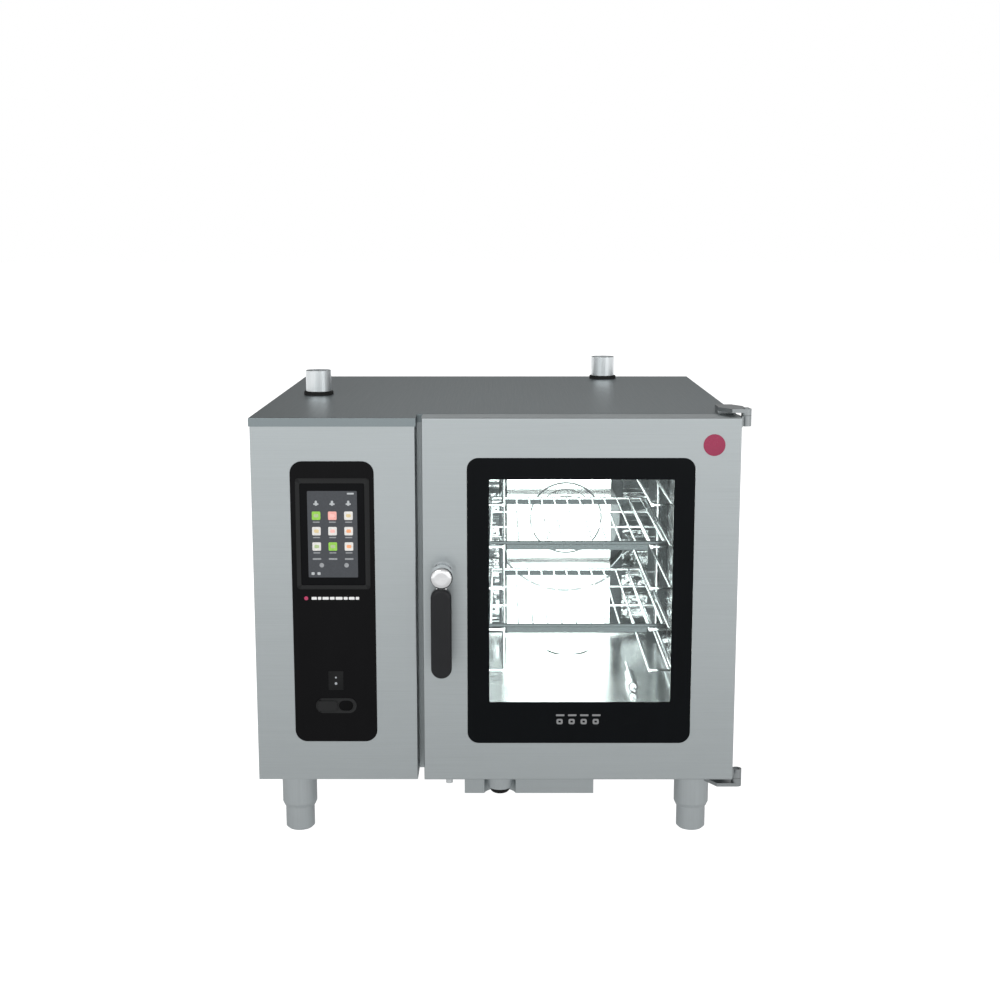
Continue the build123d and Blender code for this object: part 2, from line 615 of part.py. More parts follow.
feet = {}
places = (("front_left", 0, 0), ("front_right", 1, 0), ("rear_left", 0, 1), ("rear_right", 1, 1))
for place, column, row in places:
    with BuildPart() as foot:
        upright(FOOT_X[column], FOOT_Y[row], (0, FOOT_STEP - 0.2), FOOT_R)
        chamfer(foot.faces().sort_by(Axis.Z)[0].edges(), length=4.0)
        upright(FOOT_X[column], FOOT_Y[row], (FOOT_STEP - 1, 122), STEM_R)
    feet["foot_" + place] = foot

# ---------------------------------------------------------------- door

door_y = (DOOR_FACE, DOOR_BACK)
with BuildPart() as door_frame:
    slab(DOOR_X, door_y, (BOTTOM, TOP))
    rim = door_frame.faces().sort_by(Axis.Y)[0].edges()
    fillet(rim, radius=2.5)
    slab(
        grown(DOOR_X, -SHEET),
        (DOOR_FACE + SHEET, DOOR_BACK + 5),
        (BOTTOM + SHEET, TOP - SHEET),
        Mode.SUBTRACT,
    )
    panel(
        grown(PANE_X, GAP),
        (DOOR_FACE - 5, DOOR_FACE + 5),
        grown(PANE_Z, GAP),
        PANE_CORNER + GAP,
        Mode.SUBTRACT,
    )
    along_y(*HUB_AT, (DOOR_FACE - 5, DOOR_FACE + 5), SPINDLE_R + FIT, Mode.SUBTRACT)
    upright(*SPOUT_AT, (BOTTOM - 5, BOTTOM + 5), 6.4, Mode.SUBTRACT)

with BuildPart() as door_inner_frame:
    inner_y = (DOOR_BACK - SHEET, DOOR_BACK)
    slab(grown(DOOR_X, -SHEET - GAP), inner_y, (BOTTOM + SHEET + GAP, TOP - SHEET - GAP))
    panel(
        grown(INNER_PANE_X, -10),
        grown(inner_y, 3),
        grown(INNER_PANE_Z, -10),
        22.0,
        Mode.SUBTRACT,
    )
    along_y(*HUB_AT, grown(inner_y, 3), SPINDLE_R + 0.5, Mode.SUBTRACT)

with BuildPart() as door_outer_glass:
    panel(PANE_X, (DOOR_FACE - 0.8, DOOR_FACE + 3.2), PANE_Z, PANE_CORNER)
    fillet(door_outer_glass.faces().sort_by(Axis.Y)[0].edges(), radius=0.6)

with BuildPart() as door_inner_glass:
    panel(INNER_PANE_X, (DOOR_BACK - 7, DOOR_BACK - SHEET - 0.1), INNER_PANE_Z, PANE_CORNER)

with BuildPart() as light_strips:
    for strip_x in ((-58, -49), (327, 336)):
        slab(strip_x, (DOOR_FACE + 20, DOOR_FACE + 32), (235, 700))

with BuildPart() as door_drip_tray:
    slab((-134, 412), (DOOR_FACE + 22, DOOR_BACK - 3), (BOTTOM + SHEET + 0.2, 147))
    slab((-132.8, 410.8), (DOOR_FACE + 23.2, DOOR_BACK - 4.2), (BOTTOM + SHEET + 1.4, 150), Mode.SUBTRACT)
    upright(*SPOUT_AT, (115.6, BOTTOM + SHEET + 1), 6.0)
    upright(*SPOUT_AT, (110, BOTTOM + 10), 4.5, Mode.SUBTRACT)

hinge_x, hinge_y = HINGE_AT
door_side = DOOR_X[1]
with BuildPart() as door_knuckles:
    for barrel_z, web_z in (((768, 786.6), (768, 785.5)), ((124.5, 141), (131.5, 141))):
        upright(hinge_x, hinge_y, barrel_z, BARREL_R)
        slab((door_side + 0.1, hinge_x), (hinge_y - 7, hinge_y + 7), web_z)
        slab((door_side + 0.1, door_side + 2.6), (hinge_y - 22, hinge_y + 22), web_z)
        upright(hinge_x, hinge_y, grown(barrel_z, 5), PIN_R + FIT, Mode.SUBTRACT)

with BuildPart() as door_badge:
    along_y(369.4, 738.7, (DOOR_FACE - 1.2, DOOR_FACE - 0.02), 19.0)
    fillet(door_badge.faces().sort_by(Axis.Y)[0].edges(), radius=0.8)

with BuildPart() as door_gasket:
    seal_y = (DOOR_BACK + 0.2, FRAME_FRONT - 0.1)
    panel(grown(CAVITY_X, 15.5), seal_y, grown(CAVITY_Z, 15.5), CAVITY_CORNER + 12)
    fillet(door_gasket.faces().sort_by(Axis.Y)[0].edges(), radius=2.0)
    panel(grown(CAVITY_X, 1.5), grown(seal_y, 3), grown(CAVITY_Z, 1.5), CAVITY_CORNER, Mode.SUBTRACT)

with BuildPart() as latch_strike:
    strike_y = (DOOR_BACK + 1.0, FRAME_FRONT - 0.05)
    slab((-116, -92), strike_y, (545, 575))
    slab((-109, -99), grown(strike_y, 3), (551, 569), Mode.SUBTRACT)

# ---------------------------------------------------------------- casing side of the hinges

bracket_x = (383.0, hinge_x)
with BuildPart() as hinge_bracket_top:
    arm_z = (792.0, 798.5)
    slab(bracket_x, (hinge_y - BARREL_R, -262), arm_z)
    upright(hinge_x, hinge_y, (787.2, arm_z[1]), BARREL_R)
    slab((383, 412), (step_y + 3, -262), (TOP + 0.05, arm_z[1]))
    prism(((383, -345), (383, -310), (405, -345)), grown(arm_z, 2), Mode.SUBTRACT)
    prism(((412.5, -262), (440, -262), (440, -310)), grown(arm_z, 2), Mode.SUBTRACT)
    upright(hinge_x, hinge_y, (770, arm_z[1] + 2), PIN_R)
    fillet(hinge_bracket_top.faces().sort_by(Axis.Z)[-1].edges(), radius=0.8)

with BuildPart() as hinge_bracket_bottom:
    low_arm_z = (109.0, 115.5)
    slab((373, hinge_x), (hinge_y - BARREL_R, -290), low_arm_z)
    slab((390, hinge_x), (-291, -262), low_arm_z)
    upright(hinge_x, hinge_y, (low_arm_z[0], 123.9), BARREL_R)
    slab((390, 412), (step_y + 6, -262), (low_arm_z[0], BOTTOM - 0.1))
    prism(((373, -345), (373, -310), (395, -345)), grown(low_arm_z, 2), Mode.SUBTRACT)
    prism(((412.5, -262), (440, -262), (440, -310)), grown(low_arm_z, 2), Mode.SUBTRACT)
    upright(hinge_x, hinge_y, (low_arm_z[0], 139), PIN_R)

# ---------------------------------------------------------------- handle

hub_x, hub_z = HUB_AT
with BuildPart() as handle_hub:
    along_y(hub_x, hub_z, (HANDLE_FRONT, DOOR_FACE - 34), HUB_R)
    fillet(handle_hub.faces().sort_by(Axis.Y)[0].edges(), radius=9.0)
    fillet(handle_hub.faces().sort_by(Axis.Y)[-1].edges(), radius=3.0)
    along_y(hub_x, hub_z, (DOOR_FACE - 40, DOOR_FACE - 0.4), 12.0)
    along_y(hub_x, hub_z, (DOOR_FACE - 6, DOOR_FACE - 0.4), 17.0)
    slab((hub_x - 9, hub_x + 9), (HANDLE_FRONT + 8, HANDLE_FRONT + 16), (352, hub_z - 4))
    along_y(hub_x, hub_z, (DOOR_FACE - 5, DOOR_BACK + 3), SPINDLE_R)

with BuildPart() as handle_grip:
    grip_x = (hub_x - 0.9 - GRIP_W / 2, hub_x - 0.9 + GRIP_W / 2)
    panel(grip_x, (HANDLE_FRONT + 1, HANDLE_FRONT + 24), GRIP_Z, GRIP_W / 2 - 0.1)
    fillet(handle_grip.faces().sort_by(Axis.Y)[0].edges(), radius=7.0)
    fillet(handle_grip.faces().sort_by(Axis.Y)[-1].edges(), radius=6.0)
    slab(
        (hub_x - 9.2, hub_x + 9.2),
        (HANDLE_FRONT + 7.8, HANDLE_FRONT + 16.2),
        (351.8, GRIP_Z[1] + 5),
        Mode.SUBTRACT,
    )
    along_y(hub_x, hub_z, (HANDLE_FRONT - 5, DOOR_FACE), HUB_R + GAP, Mode.SUBTRACT)

with BuildPart() as latch_cam:
    cam_y = (DOOR_BACK + 0.4, DOOR_BACK + 2.9)
    along_y(hub_x, hub_z, cam_y, 11.5)
    slab((hub_x - 24, hub_x), cam_y, (hub_z - 5, hub_z + 5))
    along_y(hub_x, hub_z, grown(cam_y, 3), SPINDLE_R + 0.02, Mode.SUBTRACT)

parts = {
    "casing_top": casing_top,
    "left_side_panel": left_side_panel,
    "right_side_panel": right_side_panel,
    "back_panel": back_panel,
    "base_pan": base_pan,
    "control_fascia": control_fascia,
    "compartment_wall": compartment_wall,
    "front_frame": front_frame,
    "casing_screws": casing_screws,
    "control_glass": control_glass,
    "screen_bezel": screen_bezel,
    "touch_screen": touch_screen,
    "switch_plate": switch_plate,
    "usb_cover": usb_cover,
    "power_button": power_button,
    "usb_socket": usb_socket,
    "status_window": status_window,
    "control_board": control_board,
    "cavity_liner": cavity_liner,
    "insulation": insulation,
    "suction_panel": suction_panel,
    "fan_motor": fan_motor,
    "heating_element": heating_element,
    "fan_wheel": fan_wheel,
    "fan_shaft": fan_shaft,
    "steam_injector": steam_injector,
    **racks,
    "wire_shelves": wire_shelves,
    "drain_strainer": drain_strainer,
    "drain_pipe": drain_pipe,
    "core_probe": core_probe,
    "water_inlet_valve": water_inlet_valve,
    "exhaust_duct": exhaust_duct,
    **vents,
    "vent_gaskets": vent_gaskets,
    "shower_box": shower_box,
    "shower_cup": shower_cup,
    "shower_head": shower_head,
    "foot_sleeves": foot_sleeves,
    **feet,
    "door_frame": door_frame,
    "door_inner_frame": door_inner_frame,
    "door_outer_glass": door_outer_glass,
    "door_inner_glass": door_inner_glass,
    "light_strips": light_strips,
    "door_drip_tray": door_drip_tray,
    "door_knuckles": door_knuckles,
    "door_badge": door_badge,
    "door_gasket": door_gasket,
    "latch_strike": latch_strike,
    "hinge_bracket_top": hinge_bracket_top,
    "hinge_bracket_bottom": hinge_bracket_bottom,
    "handle_hub": handle_hub,
    "handle_grip": handle_grip,
    "latch_cam": latch_cam,
}

os.makedirs("parts", exist_ok=True)
for name, built in parts.items():
    built.part.label = name
    export_step(built.part, f"parts/{name}.step")
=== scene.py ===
import json
import math

import bmesh
import bpy
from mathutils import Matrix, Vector


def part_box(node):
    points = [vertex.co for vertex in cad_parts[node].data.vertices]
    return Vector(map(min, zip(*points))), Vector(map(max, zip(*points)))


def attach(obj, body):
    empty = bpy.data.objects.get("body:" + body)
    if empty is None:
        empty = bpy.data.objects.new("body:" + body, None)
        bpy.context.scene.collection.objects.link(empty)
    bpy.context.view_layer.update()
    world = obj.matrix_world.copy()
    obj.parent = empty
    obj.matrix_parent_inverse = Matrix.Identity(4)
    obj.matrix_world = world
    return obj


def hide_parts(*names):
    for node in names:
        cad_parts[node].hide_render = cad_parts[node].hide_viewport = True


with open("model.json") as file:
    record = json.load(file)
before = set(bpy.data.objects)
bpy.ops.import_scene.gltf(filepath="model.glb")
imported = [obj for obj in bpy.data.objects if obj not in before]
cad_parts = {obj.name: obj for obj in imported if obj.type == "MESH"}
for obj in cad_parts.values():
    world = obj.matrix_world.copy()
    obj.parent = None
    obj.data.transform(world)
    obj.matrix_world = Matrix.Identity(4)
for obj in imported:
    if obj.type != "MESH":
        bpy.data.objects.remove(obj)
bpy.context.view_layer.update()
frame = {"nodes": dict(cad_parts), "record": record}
NODES = frame["nodes"]


def tidy_box(node):
    """Lowest and highest corner of a CAD node as two vectors."""
    low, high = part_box(node)
    return Vector(low), Vector(high)


# ------------------------------------------------------------------ materials


def new_material(name):
    """A material with its Principled shader and node tree."""
    mat = bpy.data.materials.new(name)
    mat.use_nodes = True
    tree = mat.node_tree
    return mat, tree, tree.nodes["Principled BSDF"]


def coordinates(tree, scale):
    """Object coordinates stretched by scale along each axis."""
    place = tree.nodes.new("ShaderNodeTexCoord")
    stretch = tree.nodes.new("ShaderNodeMapping")
    stretch.inputs["Scale"].default_value = scale
    tree.links.new(place.outputs["Object"], stretch.inputs["Vector"])
    return stretch.outputs["Vector"]


def noise(tree, vector, scale, detail=4.0, rough=0.6):
    """Noise texture's value output."""
    node = tree.nodes.new("ShaderNodeTexNoise")
    node.inputs["Scale"].default_value = scale
    node.inputs["Detail"].default_value = detail
    node.inputs["Roughness"].default_value = rough
    tree.links.new(vector, node.inputs["Vector"])
    return node.outputs[0]


def remap(tree, value, low, high, start=0.3, end=0.7):
    """A value's middle range spread between low and high."""
    node = tree.nodes.new("ShaderNodeMapRange")
    node.inputs["From Min"].default_value = start
    node.inputs["From Max"].default_value = end
    node.inputs["To Min"].default_value = low
    node.inputs["To Max"].default_value = high
    tree.links.new(value, node.inputs["Value"])
    return node.outputs["Result"]


def mixed(tree, factor, first, second):
    """Colour between two colours; second may be a socket."""
    node = tree.nodes.new("ShaderNodeMix")
    node.data_type = "RGBA"
    tree.links.new(factor, node.inputs["Factor"])
    for socket, value in (("A", first), ("B", second)):
        port = next(s for s in node.inputs if s.name == socket and s.type == "RGBA")
        if isinstance(value, tuple):
            port.default_value = (*value, 1.0)
        else:
            tree.links.new(value, port)
    return next(s for s in node.outputs if s.type == "RGBA")


def bumped(tree, shader, height, strength, distance):
    """Bump from a height value."""
    node = tree.nodes.new("ShaderNodeBump")
    node.inputs["Strength"].default_value = strength
    node.inputs["Distance"].default_value = distance
    tree.links.new(height, node.inputs["Height"])
    tree.links.new(node.outputs["Normal"], shader.inputs["Normal"])


def worn_edges(tree, low, high):
    """Share of wear, high on the mesh's outer edges."""
    geometry = tree.nodes.new("ShaderNodeNewGeometry")
    return remap(tree, geometry.outputs["Pointiness"], 0.0, 1.0, low, high)


def sheet_steel(name, colour, rough, grain, bump=0.12):
    """Brushed sheet: fine lines along one axis and faint cloudy smears."""
    mat, tree, shader = new_material(name)
    lines = noise(tree, coordinates(tree, grain), 1.0, 5.0, 0.7)
    smears = noise(tree, coordinates(tree, (3.0, 3.0, 3.0)), 1.0, 3.0)
    dark = tuple(c * 0.93 for c in colour)
    light = tuple(min(c * 1.05, 1.0) for c in colour)
    brushed = mixed(tree, remap(tree, lines, 0.0, 1.0), dark, light)
    cloudy = mixed(tree, remap(tree, smears, 0.0, 0.35), brushed, light)
    tree.links.new(cloudy, shader.inputs["Base Color"])
    shader.inputs["Metallic"].default_value = 1.0
    tree.links.new(remap(tree, lines, rough - 0.05, rough + 0.07), shader.inputs["Roughness"])
    bumped(tree, shader, lines, bump, 0.0004)
    return mat


def moulded(name, colour, rough, scale=900.0, bump=0.15, metallic=0.0, specular=0.5):
    """Moulded or cast surface with fine grain, dust-lightened patches and rubbed edges."""
    mat, tree, shader = new_material(name)
    grain = noise(tree, coordinates(tree, (scale, scale, scale)), 1.0, 2.0)
    patches = noise(tree, coordinates(tree, (14.0, 14.0, 14.0)), 1.0, 4.0)
    light = tuple(min(c * 1.35 + 0.003, 1.0) for c in colour)
    base = mixed(tree, remap(tree, patches, 0.0, 0.6), colour, light)
    rubbed = tuple(min(c * 1.7 + 0.01, 1.0) for c in colour)
    edged = mixed(tree, worn_edges(tree, 0.51, 0.6), base, rubbed)
    tree.links.new(edged, shader.inputs["Base Color"])
    shader.inputs["Metallic"].default_value = metallic
    shader.inputs["Specular IOR Level"].default_value = specular
    tree.links.new(remap(tree, patches, rough - 0.04, rough + 0.08), shader.inputs["Roughness"])
    bumped(tree, shader, grain, bump, 0.0002)
    return mat


def polished(name, colour, rough=0.08):
    """Plated or polished metal with faint wipe marks."""
    mat, tree, shader = new_material(name)
    wipes = noise(tree, coordinates(tree, (40.0, 40.0, 120.0)), 1.0, 5.0)
    dark = tuple(c * 0.9 for c in colour)
    tree.links.new(mixed(tree, remap(tree, wipes, 0.0, 1.0), dark, colour), shader.inputs["Base Color"])
    shader.inputs["Metallic"].default_value = 1.0
    tree.links.new(remap(tree, wipes, rough * 0.7, rough * 1.5), shader.inputs["Roughness"])
    bumped(tree, shader, wipes, 0.02, 0.0003)
    return mat


def dark_glass(name, colour, specular=0.14):
    """Back-printed glass: near black, with faint finger smears in the gloss."""
    mat, tree, shader = new_material(name)
    smears = noise(tree, coordinates(tree, (22.0, 22.0, 9.0)), 1.0, 6.0, 0.65)
    light = tuple(c * 1.25 for c in colour)
    tree.links.new(mixed(tree, remap(tree, smears, 0.0, 1.0), colour, light), shader.inputs["Base Color"])
    shader.inputs["Specular IOR Level"].default_value = specular
    tree.links.new(remap(tree, smears, 0.05, 0.16), shader.inputs["Roughness"])
    return mat


def window_glass(name, tint):
    """Thin clear pane: see-through, with a mirror share that grows at grazing angles."""
    mat, tree, shader = new_material(name)
    tree.nodes.remove(shader)
    clear = tree.nodes.new("ShaderNodeBsdfTransparent")
    clear.inputs["Color"].default_value = (*tint, 1.0)
    gloss = tree.nodes.new("ShaderNodeBsdfGlossy")
    gloss.inputs["Color"].default_value = (0.9, 0.95, 0.95, 1.0)
    smears = noise(tree, coordinates(tree, (18.0, 18.0, 7.0)), 1.0, 6.0, 0.65)
    tree.links.new(remap(tree, smears, 0.01, 0.05), gloss.inputs["Roughness"])
    fresnel = tree.nodes.new("ShaderNodeFresnel")
    fresnel.inputs["IOR"].default_value = 1.3
    both = tree.nodes.new("ShaderNodeMixShader")
    tree.links.new(fresnel.outputs[0], both.inputs[0])
    tree.links.new(clear.outputs[0], both.inputs[1])
    tree.links.new(gloss.outputs[0], both.inputs[2])
    tree.links.new(both.outputs[0], tree.nodes["Material Output"].inputs["Surface"])
    return mat


def glowing(name, colour, strength):
    """Lit display colour or lamp with slightly uneven brightness."""
    mat, tree, shader = new_material(name)
    cells = noise(tree, coordinates(tree, (260.0, 260.0, 260.0)), 1.0, 1.0)
    dim = tuple(c * 0.86 for c in colour)
    shade = mixed(tree, remap(tree, cells, 0.0, 1.0), dim, colour)
    tree.links.new(shade, shader.inputs["Base Color"])
    tree.links.new(shade, shader.inputs["Emission Color"])
    shader.inputs["Emission Strength"].default_value = strength
    shader.inputs["Roughness"].default_value = 0.35
    return mat


def painted_reflection_steel(name, dark, light, scale, turn):
    """Side wall steel with painted reflections: its colour changes between dark and bright in slanted
    stripes and spots that stand in for the mirrored racks and walls.
    """
    mat, tree, shader = new_material(name)
    place = tree.nodes.new("ShaderNodeTexCoord")
    slant = tree.nodes.new("ShaderNodeMapping")
    slant.inputs["Rotation"].default_value = (math.radians(turn), 0, 0)
    slant.inputs["Scale"].default_value = scale
    tree.links.new(place.outputs["Object"], slant.inputs["Vector"])
    reflection_streaks = noise(tree, slant.outputs["Vector"], 1.0, 6.0, 0.78)
    reflection_specks = noise(tree, coordinates(tree, (60.0, 24.0, 75.0)), 1.0, 5.0, 0.8)
    streaked_reflection = mixed(tree, remap(tree, reflection_streaks, 0.0, 1.0, 0.485, 0.53), dark, light)
    dim = tuple(c * 1.5 for c in dark)
    shade = mixed(tree, remap(tree, reflection_specks, 0.0, 1.0, 0.46, 0.52), dim, streaked_reflection)
    tree.links.new(shade, shader.inputs["Base Color"])
    shader.inputs["Metallic"].default_value = 1.0
    tree.links.new(remap(tree, reflection_specks, 0.12, 0.3), shader.inputs["Roughness"])
    bumped(tree, shader, reflection_streaks, 0.25, 0.0012)
    return mat


ACROSS = (6.0, 6.0, 900.0)
UP = (700.0, 700.0, 9.0)
BACKWARD = (900.0, 6.0, 900.0)
FRONT_STEEL = (0.445, 0.482, 0.492)

front_steel = sheet_steel("front_steel", FRONT_STEEL, 0.38, ACROSS)
# Darker copy of the front steel: painted shade on the casing top.
top_painted_shade = sheet_steel("top_painted_shade", (0.24, 0.278, 0.29), 0.34, BACKWARD)
cavity_steel = sheet_steel("cavity_steel", (0.2, 0.21, 0.215), 0.3, ACROSS, 0.06)
# Near-white copy of the steel: painted light on the cavity liner, suction panel and drain strainer.
painted_light_steel = sheet_steel("painted_light_steel", (0.95, 0.96, 0.96), 0.2, ACROSS, 0.05)
pipe_steel = sheet_steel("pipe_steel", (0.71, 0.742, 0.755), 0.3, UP, 0.08)
foot_steel = sheet_steel("foot_steel", (0.5, 0.538, 0.55), 0.36, UP, 0.08)
hinge_steel = sheet_steel("hinge_steel", (0.33, 0.352, 0.36), 0.36, UP, 0.08)
chrome = polished("chrome", (0.86, 0.87, 0.88))
wire = polished("wire", (0.6, 0.62, 0.63), 0.14)
shelf_wire = polished("shelf_wire", (0.93, 0.94, 0.95), 0.2)
# Near-black steel copy: painted shade on the front and back bars of the wire shelves.
lip_painted_shade = sheet_steel("lip_painted_shade", (0.05, 0.055, 0.058), 0.3, ACROSS, 0.05)
# Near-black steel copy: painted shade on the liner's back wall behind the suction panel.
rear_painted_shade = sheet_steel("rear_painted_shade", (0.07, 0.075, 0.08), 0.35, ACROSS, 0.05)
# Cavity side walls: painted reflections of the racks, a dark sheet with bright slanted stripes and spots.
wall_painted_reflection = painted_reflection_steel("wall_painted_reflection", (0.04, 0.043, 0.045), (0.95, 0.97, 0.98), (1.0, 22.0, 60.0), 30)
black_glass = dark_glass("black_glass", (0.0035, 0.0035, 0.004), 0.09)
door_glass = dark_glass("door_glass", (0.0022, 0.003, 0.0038), 0.08)
screen_glass = dark_glass("screen_glass", (0.003, 0.0033, 0.004), 0.08)
clear_glass = window_glass("clear_glass", (0.96, 0.985, 0.98))
satin_black = moulded("satin_black", (0.0112, 0.0117, 0.0132), 0.36, specular=0.22)
bezel_grey = moulded("bezel_grey", (0.006, 0.0064, 0.0068), 0.42, specular=0.15)
pill_black = moulded("pill_black", (0.0055, 0.0058, 0.0062), 0.4, specular=0.14)
button_black = moulded("button_black", (0.0018, 0.0019, 0.0021), 0.36, specular=0.08)
rubber = moulded("rubber", (0.004, 0.004, 0.004), 0.6, 500.0, 0.3, specular=0.2)
silicone = moulded("silicone", (0.04, 0.042, 0.045), 0.45, 400.0)
crimson = moulded("crimson", (0.28, 0.017, 0.065), 0.25, 700.0, 0.05)
brass = moulded("brass", (0.6, 0.42, 0.16), 0.3, 600.0, 0.1, metallic=1.0)
motor_paint = moulded("motor_paint", (0.05, 0.055, 0.06), 0.45)
board_green = moulded("board_green", (0.015, 0.12, 0.045), 0.35, 300.0)
wool = moulded("wool", (0.5, 0.45, 0.32), 0.9, 180.0, 0.9)
lamp = glowing("lamp", (1.0, 0.98, 0.93), 6.0)

FINISH = {
    "brushed_steel": front_steel,
    "cavity_steel": cavity_steel,
    "vent_steel": pipe_steel,
    "foot_steel": foot_steel,
    "chrome": chrome,
    "wire_steel": wire,
    "black_glass": black_glass,
    "clear_glass": clear_glass,
    "dark_plastic": satin_black,
    "bezel_plastic": bezel_grey,
    "screen": screen_glass,
    "red_enamel": crimson,
    "rubber": rubber,
    "silicone": silicone,
    "wool": wool,
    "board_green": board_green,
    "brass": brass,
    "motor_paint": motor_paint,
    "lamp_diffuser": lamp,
}
OWN = {
    "casing_top": top_painted_shade,
    "suction_panel": painted_light_steel,
    "cavity_liner": painted_light_steel,
    "drain_strainer": painted_light_steel,
    "wire_shelves": shelf_wire,
    "door_knuckles": hinge_steel,
    "hinge_bracket_top": hinge_steel,
    "hinge_bracket_bottom": hinge_steel,
    "switch_plate": pill_black,
    "usb_cover": pill_black,
    "power_button": button_black,
    "status_window": pill_black,
}


def paint(obj, material):
    """One material over the whole object."""
    if not obj.material_slots:
        obj.data.materials.append(material)
    for held in obj.material_slots:
        held.material = material


for entry in frame["record"]["subparts"]:
    node_name = entry["node"]
    paint(NODES[node_name], OWN.get(node_name, FINISH[entry["material_slot"]]))


def repaint(node, material, chosen):
    """A second finish on those faces of a CAD node whose centre and normal are chosen."""
    obj = NODES[node]
    obj.data.materials.append(material)
    number = len(obj.data.materials) - 1
    turn = obj.matrix_world.to_3x3()
    for face in obj.data.polygons:
        if chosen(obj.matrix_world @ face.center, turn @ face.normal):
            face.material_index = number


plate_low = tidy_box("suction_panel")[0]
shelf_low, shelf_high = tidy_box("wire_shelves")
# Depth of a shelf lip, the span of the suction panel left in its own steel between strips of painted
# reflection, and what counts as facing an axis.
LIP = 0.006
REFLECTION_FREE_X = (0.005, 0.25)
FACING = 0.7
RIM_DEPTH = 0.004
# The liner's side walls get the painted reflection instead of their own steel.
repaint("cavity_liner", wall_painted_reflection, lambda at, normal: abs(normal.x) > FACING)
# Painted shade: the liner's back wall behind the suction panel is painted near black.
repaint("cavity_liner", rear_painted_shade, lambda at, normal: normal.y < -FACING and at.y > plate_low.y)
# Painted reflection: the suction panel's edge strips outside that span get the side walls' dark streaked
# steel.
repaint("suction_panel", wall_painted_reflection, lambda at, normal: not REFLECTION_FREE_X[0] < at.x < REFLECTION_FREE_X[1])
fan_low, fan_high = tidy_box("fan_wheel")
FAN_AXIS = (fan_low + fan_high) / 2
RIMS = ((0.0745, 0.0795), (0.158, 0.166))


def on_shaded_rim(at, normal):
    """Whether a face belongs to the grille's outer rim or to the pressed ring round it; these faces are
    painted darker as shade.
    """
    radius = math.hypot(at.x - FAN_AXIS.x, at.z - FAN_AXIS.z)
    return any(low < radius < high for low, high in RIMS) and at.y < plate_low.y + RIM_DEPTH


# Painted shade: the rim and pressed ring of the one suction sheet get the darker cavity steel.
repaint("suction_panel", cavity_steel, on_shaded_rim)
# Painted shade: the shelf bars within LIP of the front and back are painted near black.
repaint("wire_shelves", lip_painted_shade, lambda at, normal: min(at.y - shelf_low.y, shelf_high.y - at.y) < LIP)


# ------------------------------------------------------------------ mesh helpers


def finish_mesh(mesh, name, material, body, bevel=0.0, segments=3):
    """An object from a bmesh, riding on its body."""
    data = bpy.data.meshes.new(name)
    mesh.to_mesh(data)
    mesh.free()
    obj = bpy.data.objects.new(name, data)
    bpy.context.scene.collection.objects.link(obj)
    data.materials.append(material)
    if bevel:
        mod = obj.modifiers.new("edge", "BEVEL")
        mod.width = bevel
        mod.segments = segments
        mod.limit_method = "ANGLE"
        mod.angle_limit = math.radians(40)
    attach(obj, body)
    return obj


def rounded_outline(x, z, radius, steps=8):
    """Points round an upright rectangle with round corners, anticlockwise from the front."""
    points = []
    corners = (
        (x[1] - radius, z[1] - radius, 0),
        (x[0] + radius, z[1] - radius, 90),
        (x[0] + radius, z[0] + radius, 180),
        (x[1] - radius, z[0] + radius, 270),
    )
    for cx, cz, start in corners:
        for step in range(steps + 1):
            turn = math.radians(start + 90 * step / steps)
            points.append((cx + radius * math.cos(turn), cz + radius * math.sin(turn)))
    return points


def plate(name, x, y, z, radius, material, body, bevel=0.0):
    """Upright plate with round corners between two depths."""
    mesh = bmesh.new()
    ring = [mesh.verts.new((px, y[1], pz)) for px, pz in rounded_outline(x, z, radius)]
    face = mesh.faces.new(ring)
    grown = bmesh.ops.extrude_face_region(mesh, geom=[face])
    moved = [v for v in grown["geom"] if isinstance(v, bmesh.types.BMVert)]
    bmesh.ops.translate(mesh, vec=(0, y[0] - y[1], 0), verts=moved)
    bmesh.ops.recalc_face_normals(mesh, faces=mesh.faces)
    return finish_mesh(mesh, name, material, body, bevel)


def framed(name, outer, inner, y, material, body, bevel=0.0):
    """Plate with a round-cornered window. outer and inner are (x, z, radius)."""
    mesh = bmesh.new()
    loops = []
    for depth in y:
        for x, z, radius in (outer, inner):
            loops.append([mesh.verts.new((px, depth, pz)) for px, pz in rounded_outline(x, z, radius)])
    front_out, front_in, back_out, back_in = loops
    count = len(front_out)
    for i in range(count):
        j = (i + 1) % count
        mesh.faces.new((front_out[i], front_out[j], front_in[j], front_in[i]))
        mesh.faces.new((back_out[j], back_out[i], back_in[i], back_in[j]))
        mesh.faces.new((front_out[j], front_out[i], back_out[i], back_out[j]))
        mesh.faces.new((front_in[i], front_in[j], back_in[j], back_in[i]))
    bmesh.ops.recalc_face_normals(mesh, faces=mesh.faces)
    return finish_mesh(mesh, name, material, body, bevel, 2)


MM = 0.001

# Thickness of one printed or lit layer, and how far its back sinks into the face it lies on.
LAYER = 0.12 * MM
SUNK = 0.05 * MM

# ------------------------------------------------------------------ door glass

pane_low, pane_high = tidy_box("door_outer_glass")
PANE_CORNER = 20 * MM
PANE = 0.8 * MM
CLEAR_X = (-21 * MM, 301 * MM)
CLEAR_Z = (276 * MM, 678.4 * MM)
border = framed(
    "door_glass_border",
    ((pane_low.x, pane_high.x), (pane_low.z, pane_high.z), PANE_CORNER),
    (CLEAR_X, CLEAR_Z, 3 * MM),
    (pane_low.y, pane_high.y),
    door_glass,
    "door",
    0.5 * MM,
)
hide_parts("door_outer_glass")
middle_y = (pane_low.y + pane_high.y) / 2
plate(
    "door_glass_window",
    CLEAR_X,
    (middle_y - PANE / 2, middle_y + PANE / 2),
    CLEAR_Z,
    3 * MM,
    clear_glass,
    "door",
)

# ------------------------------------------------------------------ display

